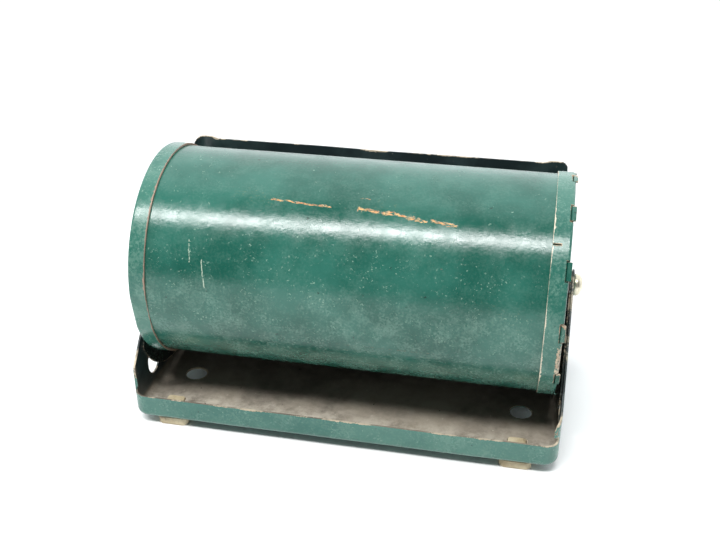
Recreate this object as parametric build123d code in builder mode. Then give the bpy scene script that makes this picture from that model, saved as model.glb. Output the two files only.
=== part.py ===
"""Tape dispenser: a drum of enamelled sheet steel that turns on an axle in a pressed steel cradle.

Frame: +X runs along the axle to the right, +Y to the back wall, +Z up, in millimetres.
The origin is on the table, under the middle of the cradle. Angles round the drum are
measured from its front (-Y), over the top.
"""

import os
from math import asin, cos, degrees, radians, sin

from build123d import *

os.makedirs("parts", exist_ok=True)

# Drum: outside sizes over its end caps, and the sheets it is made of
drum_radius = 55.0
drum_length = 206.0
cap_sheet = 1.1
cap_skirt = 8.5
cap_corner = 1.2
shell_sheet = 0.8
seam_gap = 0.1  # between the shell and the cap's skirt
face_gap = 0.1  # between the shell's end and the cap's face
tab_count = 12
tab_width = 8.4
tab_proud = 1.0  # how far a tab stands out of the cap's face
tab_phase = 4.1  # degrees from the front to the first tab
tab_slot_gap = 0.6
tab_root = 0.4  # how far inside the cap's rim the tabs step outwards
slit_length = 4.0
slit_width = 0.8
slit_angle = 46.5

# Loading opening along the back of the shell
opening_start = 124.0
opening_end = 252.0
opening_inset = 1.6  # from the cap's skirt to the end of the opening
hem_width = 4.0
hem_clear = 1.0  # from the opening's end to the hem's end

# Axle and what runs on it
axle_radius = 3.0
running_gap = 0.05
bush_radius = 5.5
bush_flange_radius = 9.0
bush_flange = 0.8
hub_proud = 0.5
washer_radius = 7.0
end_play = 0.1
axle_size = axle_radius / 3.0  # the axle's caps keep their proportion to it
cap_nut_radius = 5.5 * axle_size
cap_nut_height = 4.4 * axle_size
cap_nut_wall = 0.9 * axle_size
cap_nut_rim = 1.3 * axle_size

# Spindle, which fits inside a tape roll's 76 mm core
spindle_radius = 38.0
spindle_sheet = 0.8
spindle_inset = 3.0  # from the opening's end to the spindle's flange
flange_sheet = 1.0
flange_to_shell = 6.0
plug_depth = 10.0
plug_gap = 0.1

# Cradle
cradle_sheet = 1.0
plate_sheet = 1.0
plate_to_tab = 1.3
floor_to_drum = 13.6
wall_to_drum = 2.0
lip_height = 12.8
fold_radius = 3.5  # outside, between the floor and the walls
corner_radius = 7.5  # outside, in plan
apex_radius = 7.5  # side wall above the axle
shoulder_drop = 42.0  # from the axle down to the side wall's front shoulder
shoulder_radius = 8.0
side_inset = 2.7  # from the lip's outer face back to the side wall's edge
notch_radius = 1.8
back_wall_rise = 40.0  # above the axle
ear_rise = 1.2
ear_width = 9.0
ear_slope = 4.0
ear_corner = 4.0
flange_turn = 5.0  # how far the back wall's ends turn forward
left_end_inset = 1.6
right_end_inset = 7.0
back_step_drop = 30.0  # the back wall is narrower above this
step_corner = 2.5
bite_gap = 0.2

# Bearing plates, inside the side walls
plate_apex_inset = 1.0
plate_wing_reach = 38.0
plate_wing_drop = 38.0
plate_wing_radius = 3.0
plate_belly_radius = 45.0  # the lower edge is one long arc
plate_fold_gap = 0.5

# Holes in the cradle
floor_hole_radius = 5.6
floor_hole_inset = 19.3  # from the cradle's side to the hole's middle
floor_hole_y = -16.5
side_hole_radius = 7.8
side_hole_y = -28.5
side_hole_drop = 53.0
axle_hole_gap = 0.1

# Feet
foot_drop = 4.4
foot_width = 15.7
foot_length = 20.0
foot_corner = 3.0
foot_round = 1.0
foot_inset = 19.9  # from the cradle's side to a foot's middle
foot_y = 45.8
foot_tab_width = 9.2
foot_tab_length = 13.6
foot_tab_corner = 1.5
foot_tab_proud = 0.9
left_tab_shift = -3.0  # the front left tab is off its pad's middle
foot_slot_gap = 0.2

# Worked out from the sizes above
drum_end = drum_length / 2
skirt_edge = drum_end - cap_skirt
shell_radius = drum_radius - cap_sheet - seam_gap
shell_bore = shell_radius - shell_sheet
shell_end = drum_end - cap_sheet - face_gap
tab_end = drum_end + tab_proud
opening_half = skirt_edge - opening_inset
plate_face = tab_end + plate_to_tab
wall_face = plate_face + plate_sheet
half_width = wall_face + cradle_sheet
half_depth = drum_radius + wall_to_drum + cradle_sheet
tray_bottom = foot_drop
floor_top = tray_bottom + cradle_sheet
axle_height = floor_top + floor_to_drum + drum_radius
back_top = axle_height + back_wall_rise
spindle_half = opening_half - spindle_inset
flange_radius = shell_bore - shell_sheet - flange_to_shell
hub_end = drum_end + hub_proud
foot_x = half_width - foot_inset
floor_hole_x = half_width - floor_hole_inset
foot_places = [
    (-foot_x, -foot_y, left_tab_shift),
    (foot_x, -foot_y, 0),
    (-foot_x, foot_y, 0),
    (foot_x, foot_y, 0),
]


def across(x):
    """Plane across the axle at x: its own x is +Y, its own y is +Z."""
    return Plane(origin=(x, 0, axle_height), x_dir=(0, 1, 0), z_dir=(1, 0, 0))


def round_angle(front_angle):
    """Turns an angle counted from the drum's front into one counted from +Y."""
    return 180 - front_angle


def wedge(radius, start, end):
    """A sector of a circle, between two angles."""
    with BuildSketch() as sector:
        with BuildLine():
            rim = CenterArc((0, 0), radius, start, end - start)
            Line(rim @ 1, (0, 0))
            Line((0, 0), rim @ 0)
        make_face()
    return sector.sketch


def mirrored(piece):
    """The left-hand copy of a right-hand piece."""
    with BuildPart() as copy:
        mirror(piece.part, about=Plane.YZ)
    return copy


def ring(x, length, outer, inner):
    """A plain ring on the axle from x to x + length."""
    with BuildPart() as piece:
        with BuildSketch(across(x)):
            Circle(outer)
            Circle(inner, mode=Mode.SUBTRACT)
        extrude(amount=length)
    return piece


tab_angles = [round_angle(tab_phase + 360 / tab_count * n) for n in range(tab_count)]
tab_half_angle = degrees(tab_width / 2 / shell_radius)
slot_half_angle = degrees((tab_width / 2 + tab_slot_gap) / shell_radius)
tab_radius = drum_radius - 0.1

# Cradle: one sheet with a floor, a low front lip, two side walls and a tall back wall
with BuildPart() as cradle:
    with BuildSketch(Plane.XY.offset(tray_bottom)):
        RectangleRounded(2 * half_width, 2 * half_depth, corner_radius)
    extrude(amount=back_top + ear_rise + 1 - tray_bottom)
    fillet(cradle.faces().sort_by(Axis.Z)[0].edges(), fold_radius)
    offset(amount=-cradle_sheet, openings=cradle.faces().sort_by(Axis.Z)[-1])

    # Side view: the lip all round, the side walls rising to the axle, the tall back wall
    side_edge = half_depth - side_inset
    shoulder = -shoulder_drop - shoulder_radius
    drum_to_table = -axle_height
    with BuildSketch(across(0)) as side_view:
        with BuildSketch(mode=Mode.PRIVATE) as side_wall:
            Circle(apex_radius)
            with Locations(
                (shoulder_radius - side_edge, shoulder),
                (side_edge - shoulder_radius, shoulder),
            ):
                Circle(shoulder_radius)
            with Locations((0, drum_to_table)):
                Rectangle(2 * side_edge, lip_height, align=(Align.CENTER, Align.MIN))
            make_hull()
        add(side_wall.sketch)
        with Locations((0, drum_to_table)):
            Rectangle(2 * half_depth + 2, tray_bottom + lip_height, align=(Align.CENTER, Align.MIN))
        with Locations((half_depth - flange_turn, drum_to_table)):
            Rectangle(flange_turn + 1, back_top + ear_rise + 2, align=Align.MIN)
        notch_height = tray_bottom + lip_height - axle_height + notch_radius
        with Locations((-side_edge, notch_height)):
            Circle(notch_radius, mode=Mode.SUBTRACT)
    extrude(amount=half_width + 1, both=True, mode=Mode.INTERSECT)

    # The turned ends of the back wall are cut back where the drum's rim passes
    with BuildSketch(across(0)):
        Circle(drum_radius + wall_to_drum - bite_gap)
        with Locations((half_depth - flange_turn - 1, 0)):
            Rectangle(
                flange_turn + 2,
                2 * drum_radius,
                align=(Align.MIN, Align.CENTER),
                mode=Mode.INTERSECT,
            )
    extrude(amount=half_width + 1, both=True, mode=Mode.SUBTRACT)

    # Back view: the wall's outline above the side walls, with an ear at each end
    ear_top = back_top + ear_rise
    left_end = left_end_inset - half_width
    right_end = half_width - right_end_inset
    back_step = axle_height - back_step_drop
    with BuildSketch(Plane(origin=(0, half_depth + 1, 0), x_dir=(1, 0, 0), z_dir=(0, -1, 0))):
        with Locations((0, back_step)):
            Rectangle(2 * half_width + 4, back_top, align=(Align.CENTER, Align.MIN))
        with BuildSketch(mode=Mode.PRIVATE) as wall_outline:
            with BuildLine():
                Polyline(
                    (left_end, back_step - step_corner),
                    (left_end, ear_top),
                    (left_end + ear_width, ear_top),
                    (left_end + ear_width + ear_slope, back_top),
                    (right_end - ear_width - ear_slope, back_top),
                    (right_end - ear_width, ear_top),
                    (right_end, ear_top),
                    (right_end, back_step - step_corner),
                    close=True,
                )
            make_face()
            tops = wall_outline.vertices().filter_by(lambda v: v.Y > back_top - 0.1)
            outer = tops.filter_by(lambda v: v.X < left_end + 1 or v.X > right_end - 1)
            fillet(outer, ear_corner)
        add(wall_outline.sketch, mode=Mode.SUBTRACT)
    extrude(amount=flange_turn + 2, mode=Mode.SUBTRACT)

    with BuildSketch(Plane.XY.offset(tray_bottom)):
        with Locations((-floor_hole_x, floor_hole_y), (floor_hole_x, floor_hole_y)):
            Circle(floor_hole_radius)
        with Locations(*[(x + shift, y) for x, y, shift in foot_places]):
            RectangleRounded(
                foot_tab_width + 2 * foot_slot_gap,
                foot_tab_length + 2 * foot_slot_gap,
                foot_tab_corner,
            )
    extrude(amount=cradle_sheet, mode=Mode.SUBTRACT)
    with BuildSketch(across(0)):
        Circle(axle_radius + axle_hole_gap)
        with Locations((side_hole_y, -side_hole_drop)):
            Circle(side_hole_radius)
    extrude(amount=half_width + 1, both=True, mode=Mode.SUBTRACT)

# Bearing plate: doubles each side wall round the axle, and its lower edge curves down to the floor's fold
with BuildPart() as right_bearing_plate:
    with BuildSketch(across(plate_face)):
        Circle(apex_radius - plate_apex_inset)
        with Locations((-plate_wing_reach, -plate_wing_drop), (plate_wing_reach, -plate_wing_drop)):
            Circle(plate_wing_radius)
        fold_top = fold_radius - cradle_sheet - floor_to_drum - drum_radius
        belly_low = fold_top + plate_fold_gap
        with Locations((0, belly_low)):
            Rectangle(2 * (plate_wing_reach + plate_wing_radius), plate_wing_radius)
        make_hull()
        with Locations((0, belly_low + plate_belly_radius)):
            Circle(plate_belly_radius, mode=Mode.INTERSECT)
        Circle(axle_radius + axle_hole_gap, mode=Mode.SUBTRACT)
    extrude(amount=plate_sheet)
left_bearing_plate = mirrored(right_bearing_plate)


def foot(x, y, tab_shift):
    """Rubber foot: a square pad under the floor and a tab that fills a slot in it."""
    with BuildPart() as piece:
        with BuildSketch():
            with Locations((x, y)):
                RectangleRounded(foot_width, foot_length, foot_corner)
        extrude(amount=tray_bottom)
        fillet(piece.faces().sort_by(Axis.Z)[0].edges(), foot_round)
        with BuildSketch(Plane.XY.offset(tray_bottom)):
            with Locations((x + tab_shift, y)):
                RectangleRounded(foot_tab_width, foot_tab_length, foot_tab_corner)
        extrude(amount=cradle_sheet + foot_tab_proud)
    return piece


front_left_foot, front_right_foot, rear_left_foot, rear_right_foot = [foot(*place) for place in foot_places]

# Axle: a plain rod, with a domed cap pushed on each end
axle_end = half_width + cap_nut_height - cap_nut_wall
with BuildPart() as axle:
    with BuildSketch(across(-axle_end)):
        Circle(axle_radius)
    extrude(amount=2 * axle_end)
    chamfer(axle.edges().filter_by(GeomType.CIRCLE), 0.5)

dome_height = cap_nut_height - cap_nut_rim
dome_radius = (cap_nut_radius**2 + dome_height**2) / (2 * dome_height)
dome_centre = cap_nut_height - dome_radius
dome_turn = asin(cap_nut_radius / dome_radius)
with BuildPart() as right_axle_cap:
    with BuildSketch(Plane(origin=(half_width, 0, axle_height), x_dir=(1, 0, 0), z_dir=(0, -1, 0))):
        with BuildLine():
            Polyline((0, axle_radius), (0, cap_nut_radius), (cap_nut_rim, cap_nut_radius))
            ThreePointArc(
                (cap_nut_rim, cap_nut_radius),
                (dome_centre + dome_radius * cos(dome_turn / 2), dome_radius * sin(dome_turn / 2)),
                (cap_nut_height, 0),
            )
            Polyline(
                (cap_nut_height, 0),
                (cap_nut_height - cap_nut_wall, 0),
                (cap_nut_height - cap_nut_wall, axle_radius),
                (0, axle_radius),
            )
        make_face()
    revolve(axis=Axis((0, 0, axle_height), (1, 0, 0)))
left_axle_cap = mirrored(right_axle_cap)

# Thrust washers between the drum's hubs and the bearing plates; the right one is sprung
washer_start = hub_end + end_play
washer_length = plate_face - washer_start - end_play
left_thrust_washer = ring(-plate_face + end_play, washer_length, washer_radius, axle_radius + axle_hole_gap)
with BuildPart() as right_spring_washer:
    with BuildSketch(Plane(origin=(washer_start, 0, axle_height), x_dir=(1, 0, 0), z_dir=(0, -1, 0))):
        half_sheet = washer_length * 0.4
        with BuildLine():
            Polyline(
                (0, axle_radius + axle_hole_gap),
                (half_sheet, axle_radius + axle_hole_gap),
                (washer_length, washer_radius),
                (washer_length - half_sheet, washer_radius),
                close=True,
            )
        make_face()
    revolve(axis=Axis((0, 0, axle_height), (1, 0, 0)))

# Drum shell: rolled sheet with a long opening at the back and tabs on its right-hand end
with BuildPart() as drum_shell:
    with BuildSketch(across(-shell_end)):
        Circle(shell_radius)
        Circle(shell_bore, mode=Mode.SUBTRACT)
    extrude(amount=2 * shell_end)
    hem_half = opening_half - hem_clear
    hem_angle = degrees(hem_width / shell_bore)
    with BuildSketch(across(-hem_half)):
        for edge, turn in ((opening_start, -hem_angle), (opening_end, hem_angle)):
            add(wedge(shell_bore, *sorted((round_angle(edge), round_angle(edge + turn)))))
        Circle(shell_bore - shell_sheet, mode=Mode.SUBTRACT)
    extrude(amount=2 * hem_half)
    with BuildSketch(across(-opening_half)):
        add(wedge(drum_radius, round_angle(opening_end), round_angle(opening_start)))
    extrude(amount=2 * opening_half, mode=Mode.SUBTRACT)
    for start, length, inner in (
        (shell_end - tab_root, tab_root + face_gap, shell_bore),
        (shell_end, tab_end - shell_end, tab_radius - shell_sheet),
    ):
        with BuildSketch(across(start)):
            for angle in tab_angles:
                add(wedge(tab_radius, angle - tab_half_angle, angle + tab_half_angle))
            Circle(inner, mode=Mode.SUBTRACT)
        extrude(amount=length)

# End cap: a pressed cup over the shell's end
with BuildPart() as end_cap:
    with BuildSketch(across(skirt_edge)):
        Circle(drum_radius)
    extrude(amount=cap_skirt)
    with BuildSketch(across(skirt_edge)):
        Circle(drum_radius - cap_sheet)
    extrude(amount=cap_skirt - cap_sheet, mode=Mode.SUBTRACT)
    fillet(end_cap.faces().sort_by(Axis.X)[-1].edges(), cap_corner)
    with BuildSketch(across(skirt_edge)):
        Circle(bush_radius)
    extrude(amount=cap_skirt, mode=Mode.SUBTRACT)
left_end_cap = mirrored(end_cap)

# The right cap is slotted at its rim for the shell's tabs, and split where its skirt was drawn
with BuildPart() as right_end_cap:
    add(end_cap.part)
    with BuildSketch(across(shell_end - tab_root - seam_gap)):
        for angle in tab_angles:
            add(wedge(drum_radius + 1, angle - slot_half_angle, angle + slot_half_angle))
        Circle(shell_bore - seam_gap, mode=Mode.SUBTRACT)
    extrude(amount=cap_skirt, mode=Mode.SUBTRACT)
    slit_turn = radians(round_angle(slit_angle))
    slit_at = Plane(
        origin=(skirt_edge, drum_radius * cos(slit_turn), axle_height + drum_radius * sin(slit_turn)),
        x_dir=(1, 0, 0),
        z_dir=(0, cos(slit_turn), sin(slit_turn)),
    )
    with BuildSketch(slit_at):
        Rectangle(slit_length, slit_width, align=(Align.MIN, Align.CENTER))
    extrude(amount=2 * cap_sheet, both=True, mode=Mode.SUBTRACT)

# Hub: a flanged bush staked into the cap's face, which turns on the axle
cap_face_back = drum_end - cap_sheet
with BuildPart() as right_hub:
    with BuildSketch(across(cap_face_back - bush_flange)):
        Circle(bush_flange_radius)
    extrude(amount=bush_flange)
    with BuildSketch(across(cap_face_back)):
        Circle(bush_radius)
    extrude(amount=hub_end - cap_face_back)
    with BuildSketch(across(cap_face_back - bush_flange)):
        Circle(axle_radius + running_gap)
    extrude(amount=drum_length, both=True, mode=Mode.SUBTRACT)
left_hub = mirrored(right_hub)

# Spindle: a thin tube for the tape cores, with a flanged plug in each end
spindle_tube = ring(-spindle_half, 2 * spindle_half, spindle_radius, spindle_radius - spindle_sheet)

plug_radius = spindle_radius - spindle_sheet - plug_gap
with BuildPart() as right_spindle_flange:
    with BuildSketch(across(spindle_half)):
        Circle(max(flange_radius, spindle_radius))
    extrude(amount=flange_sheet)
    with BuildSketch(across(spindle_half - plug_depth)):
        Circle(plug_radius)
    extrude(amount=plug_depth)
    with BuildSketch(across(spindle_half - plug_depth + flange_sheet)):
        Circle(plug_radius - flange_sheet)
    extrude(amount=plug_depth, mode=Mode.SUBTRACT)
    with BuildSketch(across(spindle_half - plug_depth)):
        Circle(bush_radius)
    extrude(amount=plug_depth, mode=Mode.SUBTRACT)
left_spindle_flange = mirrored(right_spindle_flange)

bush_start = spindle_half - plug_depth - bush_flange
bush_end = spindle_half + flange_sheet
with BuildPart() as right_spindle_bush:
    with BuildSketch(across(bush_start)):
        Circle(bush_flange_radius)
    extrude(amount=bush_flange)
    with BuildSketch(across(bush_start)):
        Circle(bush_radius)
    extrude(amount=bush_end - bush_start)
    with BuildSketch(across(bush_start)):
        Circle(axle_radius + running_gap)
    extrude(amount=drum_length, both=True, mode=Mode.SUBTRACT)
left_spindle_bush = mirrored(right_spindle_bush)

# Spacer tubes on the axle keep the spindle in the middle of the drum
spacer_length = cap_face_back - bush_flange - bush_end - 2 * end_play
right_spacer = ring(bush_end + end_play, spacer_length, bush_radius, axle_radius + axle_hole_gap)
left_spacer = mirrored(right_spacer)

pieces = {
    "cradle": cradle,
    "left_bearing_plate": left_bearing_plate,
    "right_bearing_plate": right_bearing_plate,
    "front_left_foot": front_left_foot,
    "front_right_foot": front_right_foot,
    "rear_left_foot": rear_left_foot,
    "rear_right_foot": rear_right_foot,
    "axle": axle,
    "left_axle_cap": left_axle_cap,
    "right_axle_cap": right_axle_cap,
    "left_thrust_washer": left_thrust_washer,
    "right_spring_washer": right_spring_washer,
    "drum_shell": drum_shell,
    "left_end_cap": left_end_cap,
    "right_end_cap": right_end_cap,
    "left_hub": left_hub,
    "right_hub": right_hub,
    "spindle_tube": spindle_tube,
    "left_spindle_flange": left_spindle_flange,
    "right_spindle_flange": right_spindle_flange,
    "left_spindle_bush": left_spindle_bush,
    "right_spindle_bush": right_spindle_bush,
    "left_spacer": left_spacer,
    "right_spacer": right_spacer,
}
for name, piece in pieces.items():
    piece.part.label = name
    export_step(piece.part, f"parts/{name}.step")
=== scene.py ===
from math import cos, pi, radians, sin

import bmesh
import bpy
import numpy as np
from mathutils import Matrix, Vector


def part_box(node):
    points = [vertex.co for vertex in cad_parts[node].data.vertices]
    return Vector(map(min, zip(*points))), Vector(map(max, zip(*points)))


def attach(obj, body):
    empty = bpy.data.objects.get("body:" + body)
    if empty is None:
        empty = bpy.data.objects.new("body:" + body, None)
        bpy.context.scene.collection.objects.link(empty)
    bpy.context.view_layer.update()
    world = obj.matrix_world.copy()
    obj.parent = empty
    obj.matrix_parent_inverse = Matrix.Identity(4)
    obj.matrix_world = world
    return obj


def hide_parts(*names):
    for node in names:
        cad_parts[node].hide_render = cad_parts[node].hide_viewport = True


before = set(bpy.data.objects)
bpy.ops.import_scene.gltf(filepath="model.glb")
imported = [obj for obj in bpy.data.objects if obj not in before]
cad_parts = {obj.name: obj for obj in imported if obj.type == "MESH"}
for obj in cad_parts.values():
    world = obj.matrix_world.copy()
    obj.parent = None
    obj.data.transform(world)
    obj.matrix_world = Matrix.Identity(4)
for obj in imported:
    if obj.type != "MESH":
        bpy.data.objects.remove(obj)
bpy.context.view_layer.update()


# Camera. It looks down on the dispenser from in front and a little to the right,
# close enough that the right-hand end of the drum is seen past its rim.
camera_place = Vector((0.08707, -0.43327, 0.30974))
camera_yaw = radians(-11.389)
camera_pitch = radians(28.429)
camera_roll = radians(0.056)
looks = Vector(
    (sin(camera_yaw) * cos(camera_pitch), cos(camera_yaw) * cos(camera_pitch), -sin(camera_pitch))
)
level = Vector((cos(camera_yaw), -sin(camera_yaw), 0))
upright = level.cross(looks)
right = level * cos(camera_roll) + upright * sin(camera_roll)
above = upright * cos(camera_roll) - level * sin(camera_roll)
lens = bpy.data.cameras.new("camera")
lens.sensor_width = 36
lens.lens = 48.83
camera = bpy.data.objects.new("camera", lens)
camera.matrix_world = Matrix.Translation(camera_place) @ Matrix((right, above, -looks)).transposed().to_4x4()
bpy.context.scene.collection.objects.link(camera)
bpy.context.scene.camera = camera


# Room. A white table, a long soft box overhead and in front, bright paper above and behind,
# and a dim room on the camera's side, which keeps the drum's front deep in colour.
def colour(red, green, blue):
    """A paint colour, 0 to 255 a channel, as the linear colour that shaders take."""
    share = np.array((red, green, blue)) / 255
    linear = np.where(share <= 0.04045, share / 12.92, ((share + 0.055) / 1.055) ** 2.4)
    return (*linear.tolist(), 1.0)


def node(tree, kind, feeds=(), **settings):
    """Adds a shader node. Each feed is an input's name or number, and a value or an output."""
    made = tree.nodes.new("ShaderNode" + kind)
    for key, value in settings.items():
        setattr(made, key, value)
    for key, value in dict(feeds).items():
        if isinstance(value, bpy.types.NodeSocket):
            tree.links.new(value, made.inputs[key])
        else:
            made.inputs[key].default_value = value
    return made


def calc(tree, operation, *values, clamp=False):
    """One sum on numbers."""
    return node(tree, "Math", enumerate(values), operation=operation, use_clamp=clamp).outputs[0]


def fade(tree, value, low, high, start=0.0, end=1.0):
    """Goes smoothly from start to end while value goes from low to high."""
    feeds = {0: value, 1: low, 2: high, 3: start, 4: end}
    return node(tree, "MapRange", feeds, interpolation_type="SMOOTHSTEP").outputs[0]


def mix(tree, share, first, second):
    """Share of the second colour over the first."""
    return node(tree, "Mix", {0: share, 6: first, 7: second}, data_type="RGBA").outputs[2]


def link_up(name, made, body, stands_for=()):
    """Names a finished piece and puts it on its body, and hides the frame parts that it stands for."""
    made.name = name
    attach(made, body)
    if stands_for:
        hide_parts(*stands_for)


table_half = 3.0
table_mesh = bpy.data.meshes.new("table")
table_mesh.from_pydata(
    [(x, y, 0) for x, y in ((-1, -1), (1, -1), (1, 1), (-1, 1))], [], [(0, 1, 2, 3)]
)
table_mesh.transform(Matrix.Scale(table_half, 4))
table = bpy.data.objects.new("table", table_mesh)
bpy.context.scene.collection.objects.link(table)
table_finish = bpy.data.materials.new("table_white")
table_finish.use_nodes = True
table_shader = table_finish.node_tree.nodes["Principled BSDF"]
table_shader.inputs["Base Color"].default_value = colour(246, 246, 246)
table_shader.inputs["Roughness"].default_value = 0.6
table_mesh.materials.append(table_finish)

# The box hangs a little lower and further forward at its left end.
box_left = Vector((-0.455, -0.47, 0.897))
box_right = Vector((0.125, -0.39, 0.942))
axle_height = 0.074
box_aim = Vector((0, 0, axle_height))
soft_box = bpy.data.lights.new("soft_box", "AREA")
soft_box.shape = "RECTANGLE"
soft_box.size = 0.95
soft_box.size_y = 0.11
soft_box.energy = 13
soft_box_object = bpy.data.objects.new("soft_box", soft_box)
soft_box_place = (box_left + box_right) / 2
box_long = (box_right - box_left).normalized()
box_back = soft_box_place - box_aim
box_back = (box_back - box_long * box_back.dot(box_long)).normalized()
box_turn = Matrix((box_long, box_back.cross(box_long), box_back)).transposed().to_4x4()
soft_box_object.matrix_world = Matrix.Translation(soft_box_place) @ box_turn
bpy.context.scene.collection.objects.link(soft_box_object)

room = bpy.data.worlds.new("room")
bpy.context.scene.world = room
room.use_nodes = True
air = room.node_tree
air.nodes.clear()
toward = node(air, "TexCoord").outputs["Generated"]
split = node(air, "SeparateXYZ", {0: toward})
paper = fade(air, split.outputs["Y"], -0.10, 0.2, 0.24, 1.7)
dim = node(air, "Background", {"Color": colour(250, 252, 255), "Strength": paper}).outputs[0]
white = node(air, "Background", {"Color": (1, 1, 1, 1), "Strength": 1.0}).outputs[0]
seen = node(air, "LightPath").outputs["Is Camera Ray"]
air_mix = node(air, "MixShader", {0: seen, 1: dim, 2: white}).outputs[0]
node(air, "OutputWorld", {0: air_mix})
bpy.context.scene.view_settings.view_transform = "Standard"


# Cradle. One sheet of 1 mm steel, pressed into a tray with a low front lip, two A-shaped side
# walls that carry the axle, and a tall back wall whose bare top edge tears the tape. Enamelled
# green outside; the inside is dark with old oil. The floor's dust thins out under the drum, so the
# floor is paler near the lip and darker under the drum: real dust, and painted shade of the drum.
def settle(piece):
    """Turns a piece's modifiers into its mesh."""
    shown = piece.evaluated_get(bpy.context.evaluated_depsgraph_get())
    done = bpy.data.meshes.new_from_object(shown)
    piece.modifiers.clear()
    piece.data = done
    return piece


def sharp_points(mesh, turn, apart):
    """Points every so often along the edges of a mesh where its surface turns by more than an angle."""
    work = bmesh.new()
    work.from_mesh(mesh)
    ends = np.array(
        [
            [v.co[:] for v in edge.verts]
            for edge in work.edges
            if len(edge.link_faces) == 2 and edge.calc_face_angle() > turn
        ]
    ).reshape(-1, 2, 3)
    work.free()
    long = np.linalg.norm(ends[:, 1] - ends[:, 0], axis=1)
    count = np.maximum(2, np.ceil(long / apart).astype(int) + 1)
    which = np.repeat(np.arange(len(ends)), count)
    step = np.arange(len(which)) - np.repeat(np.cumsum(count) - count, count)
    share = (step / (count[which] - 1))[:, None]
    return ends[which, 0] * (1 - share) + ends[which, 1] * share


def nearest(points, targets):
    """For each point, how far it is to the nearest target; worked out a few hundred points at a time."""
    points = points.astype(np.float32)
    targets = targets.astype(np.float32)
    square = (targets**2).sum(1)
    found = [
        np.sqrt(
            np.maximum(((part**2).sum(1)[:, None] - 2 * part @ targets.T + square).min(1), 0)
        )
        for part in np.array_split(points, max(1, len(points) // 400))
    ]
    return np.concatenate(found)


def vertices(mesh):
    """All the vertices of a mesh, as an array."""
    flat = np.empty(len(mesh.vertices) * 3, np.float32)
    mesh.vertices.foreach_get("co", flat)
    return flat.reshape(-1, 3).astype(float)


def dull_edges(piece, bevel, cell=None, turn=50, segments=2, ripple=0.0, seed=0):
    """Rounds a piece's sharp edges a little, and keeps how far each point is from one as "edge".

    cell is the size of the squares that large flat faces are cut into first; ripple is how
    far the sheet waves, as a sum of slow sine waves along x, y and z.
    """
    settle(piece)
    rim = sharp_points(piece.data, radians(turn), 0.0008)
    rounding = piece.modifiers.new("bevel", "BEVEL")
    rounding.width = bevel
    rounding.segments = segments
    rounding.limit_method = "ANGLE"
    rounding.angle_limit = radians(turn)
    rounding.use_clamp_overlap = False
    settle(piece)
    if cell:
        work = bmesh.new()
        work.from_mesh(piece.data)
        low = np.array([v.co[:] for v in work.verts]).min(0)
        high = np.array([v.co[:] for v in work.verts]).max(0)
        for axis in range(3):
            normal = [0, 0, 0]
            normal[axis] = 1
            for place in np.arange(low[axis] + cell, high[axis] - cell / 2, cell):
                at = [0, 0, 0]
                at[axis] = place
                everything = work.verts[:] + work.edges[:] + work.faces[:]
                bmesh.ops.bisect_plane(work, geom=everything, dist=1e-7, plane_co=at, plane_no=normal)
        bmesh.ops.triangulate(work, faces=[f for f in work.faces if len(f.verts) > 4])
        work.to_mesh(piece.data)
        work.free()
    mesh = piece.data
    points = vertices(mesh)
    away = nearest(points, rim)
    mesh.attributes.new("edge", "FLOAT", "POINT").data.foreach_set("value", away.astype(np.float32))
    if ripple:
        draw = np.random.default_rng(seed)
        shift = np.zeros_like(points)
        for wave in range(9):
            way = draw.normal(size=3)
            push = draw.normal(size=3)
            long = draw.uniform(0.03, 0.11)
            phase = draw.uniform(0, 2 * pi)
            swing = np.sin(2 * pi * points @ (way / np.linalg.norm(way)) / long + phase)
            shift += swing[:, None] * push / np.linalg.norm(push) * (ripple / 3)
        mesh.vertices.foreach_set("co", (points + shift).astype(np.float32).ravel())
    mesh.set_sharp_from_angle(angle=radians(38))
    even = piece.modifiers.new("even", "WEIGHTED_NORMAL")
    even.keep_sharp = True
    return settle(piece)


def copy_of(node_name, name):
    """A copy of a frame part with its loose triangles joined, and the flat ones merged."""
    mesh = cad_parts[node_name].data.copy()
    work = bmesh.new()
    work.from_mesh(mesh)
    bmesh.ops.remove_doubles(work, verts=work.verts, dist=2e-6)
    bmesh.ops.dissolve_limit(
        work, angle_limit=radians(0.3), verts=work.verts, edges=work.edges, use_dissolve_boundaries=False
    )
    work.to_mesh(mesh)
    work.free()
    mesh.materials.clear()
    mesh.shade_smooth()
    for layer in [a.name for a in mesh.attributes if a.name.startswith("custom_normal")]:
        mesh.attributes.remove(mesh.attributes[layer])
    piece = bpy.data.objects.new(name, mesh)
    bpy.context.scene.collection.objects.link(piece)
    return piece


def new_group(name, takes, gives):
    """Starts a shader group; returns its tree, its inputs as outputs to draw on, and its output node."""
    tree = bpy.data.node_groups.new(name, "ShaderNodeTree")
    for label, kind, value in takes:
        socket = tree.interface.new_socket(label, in_out="INPUT", socket_type="NodeSocket" + kind)
        if value is not None:
            socket.default_value = value
    for label, kind in gives:
        tree.interface.new_socket(label, in_out="OUTPUT", socket_type="NodeSocket" + kind)
    return tree, tree.nodes.new("NodeGroupInput").outputs, tree.nodes.new("NodeGroupOutput")


def use(tree, group, feeds=()):
    """Places a shader group in a tree and returns its outputs."""
    made = tree.nodes.new("ShaderNodeGroup")
    made.node_tree = group
    for key, value in dict(feeds).items():
        if isinstance(value, bpy.types.NodeSocket):
            tree.links.new(value, made.inputs[key])
        else:
            made.inputs[key].default_value = value
    return made.outputs


def noise(tree, place, scale, detail=3.0, rough=0.55, warp=0.0):
    """Cloudy noise, about 0.5 on average; scale is how many clouds to a metre."""
    feeds = {"Vector": place, "Scale": scale, "Detail": detail, "Roughness": rough, "Distortion": warp}
    return node(tree, "TexNoise", feeds).outputs[0]


def stretch(tree, place, by):
    """A place multiplied along x, y and z, which draws a pattern out along the smallest."""
    return node(tree, "VectorMath", {0: place, 1: by}, operation="MULTIPLY").outputs[0]


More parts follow.
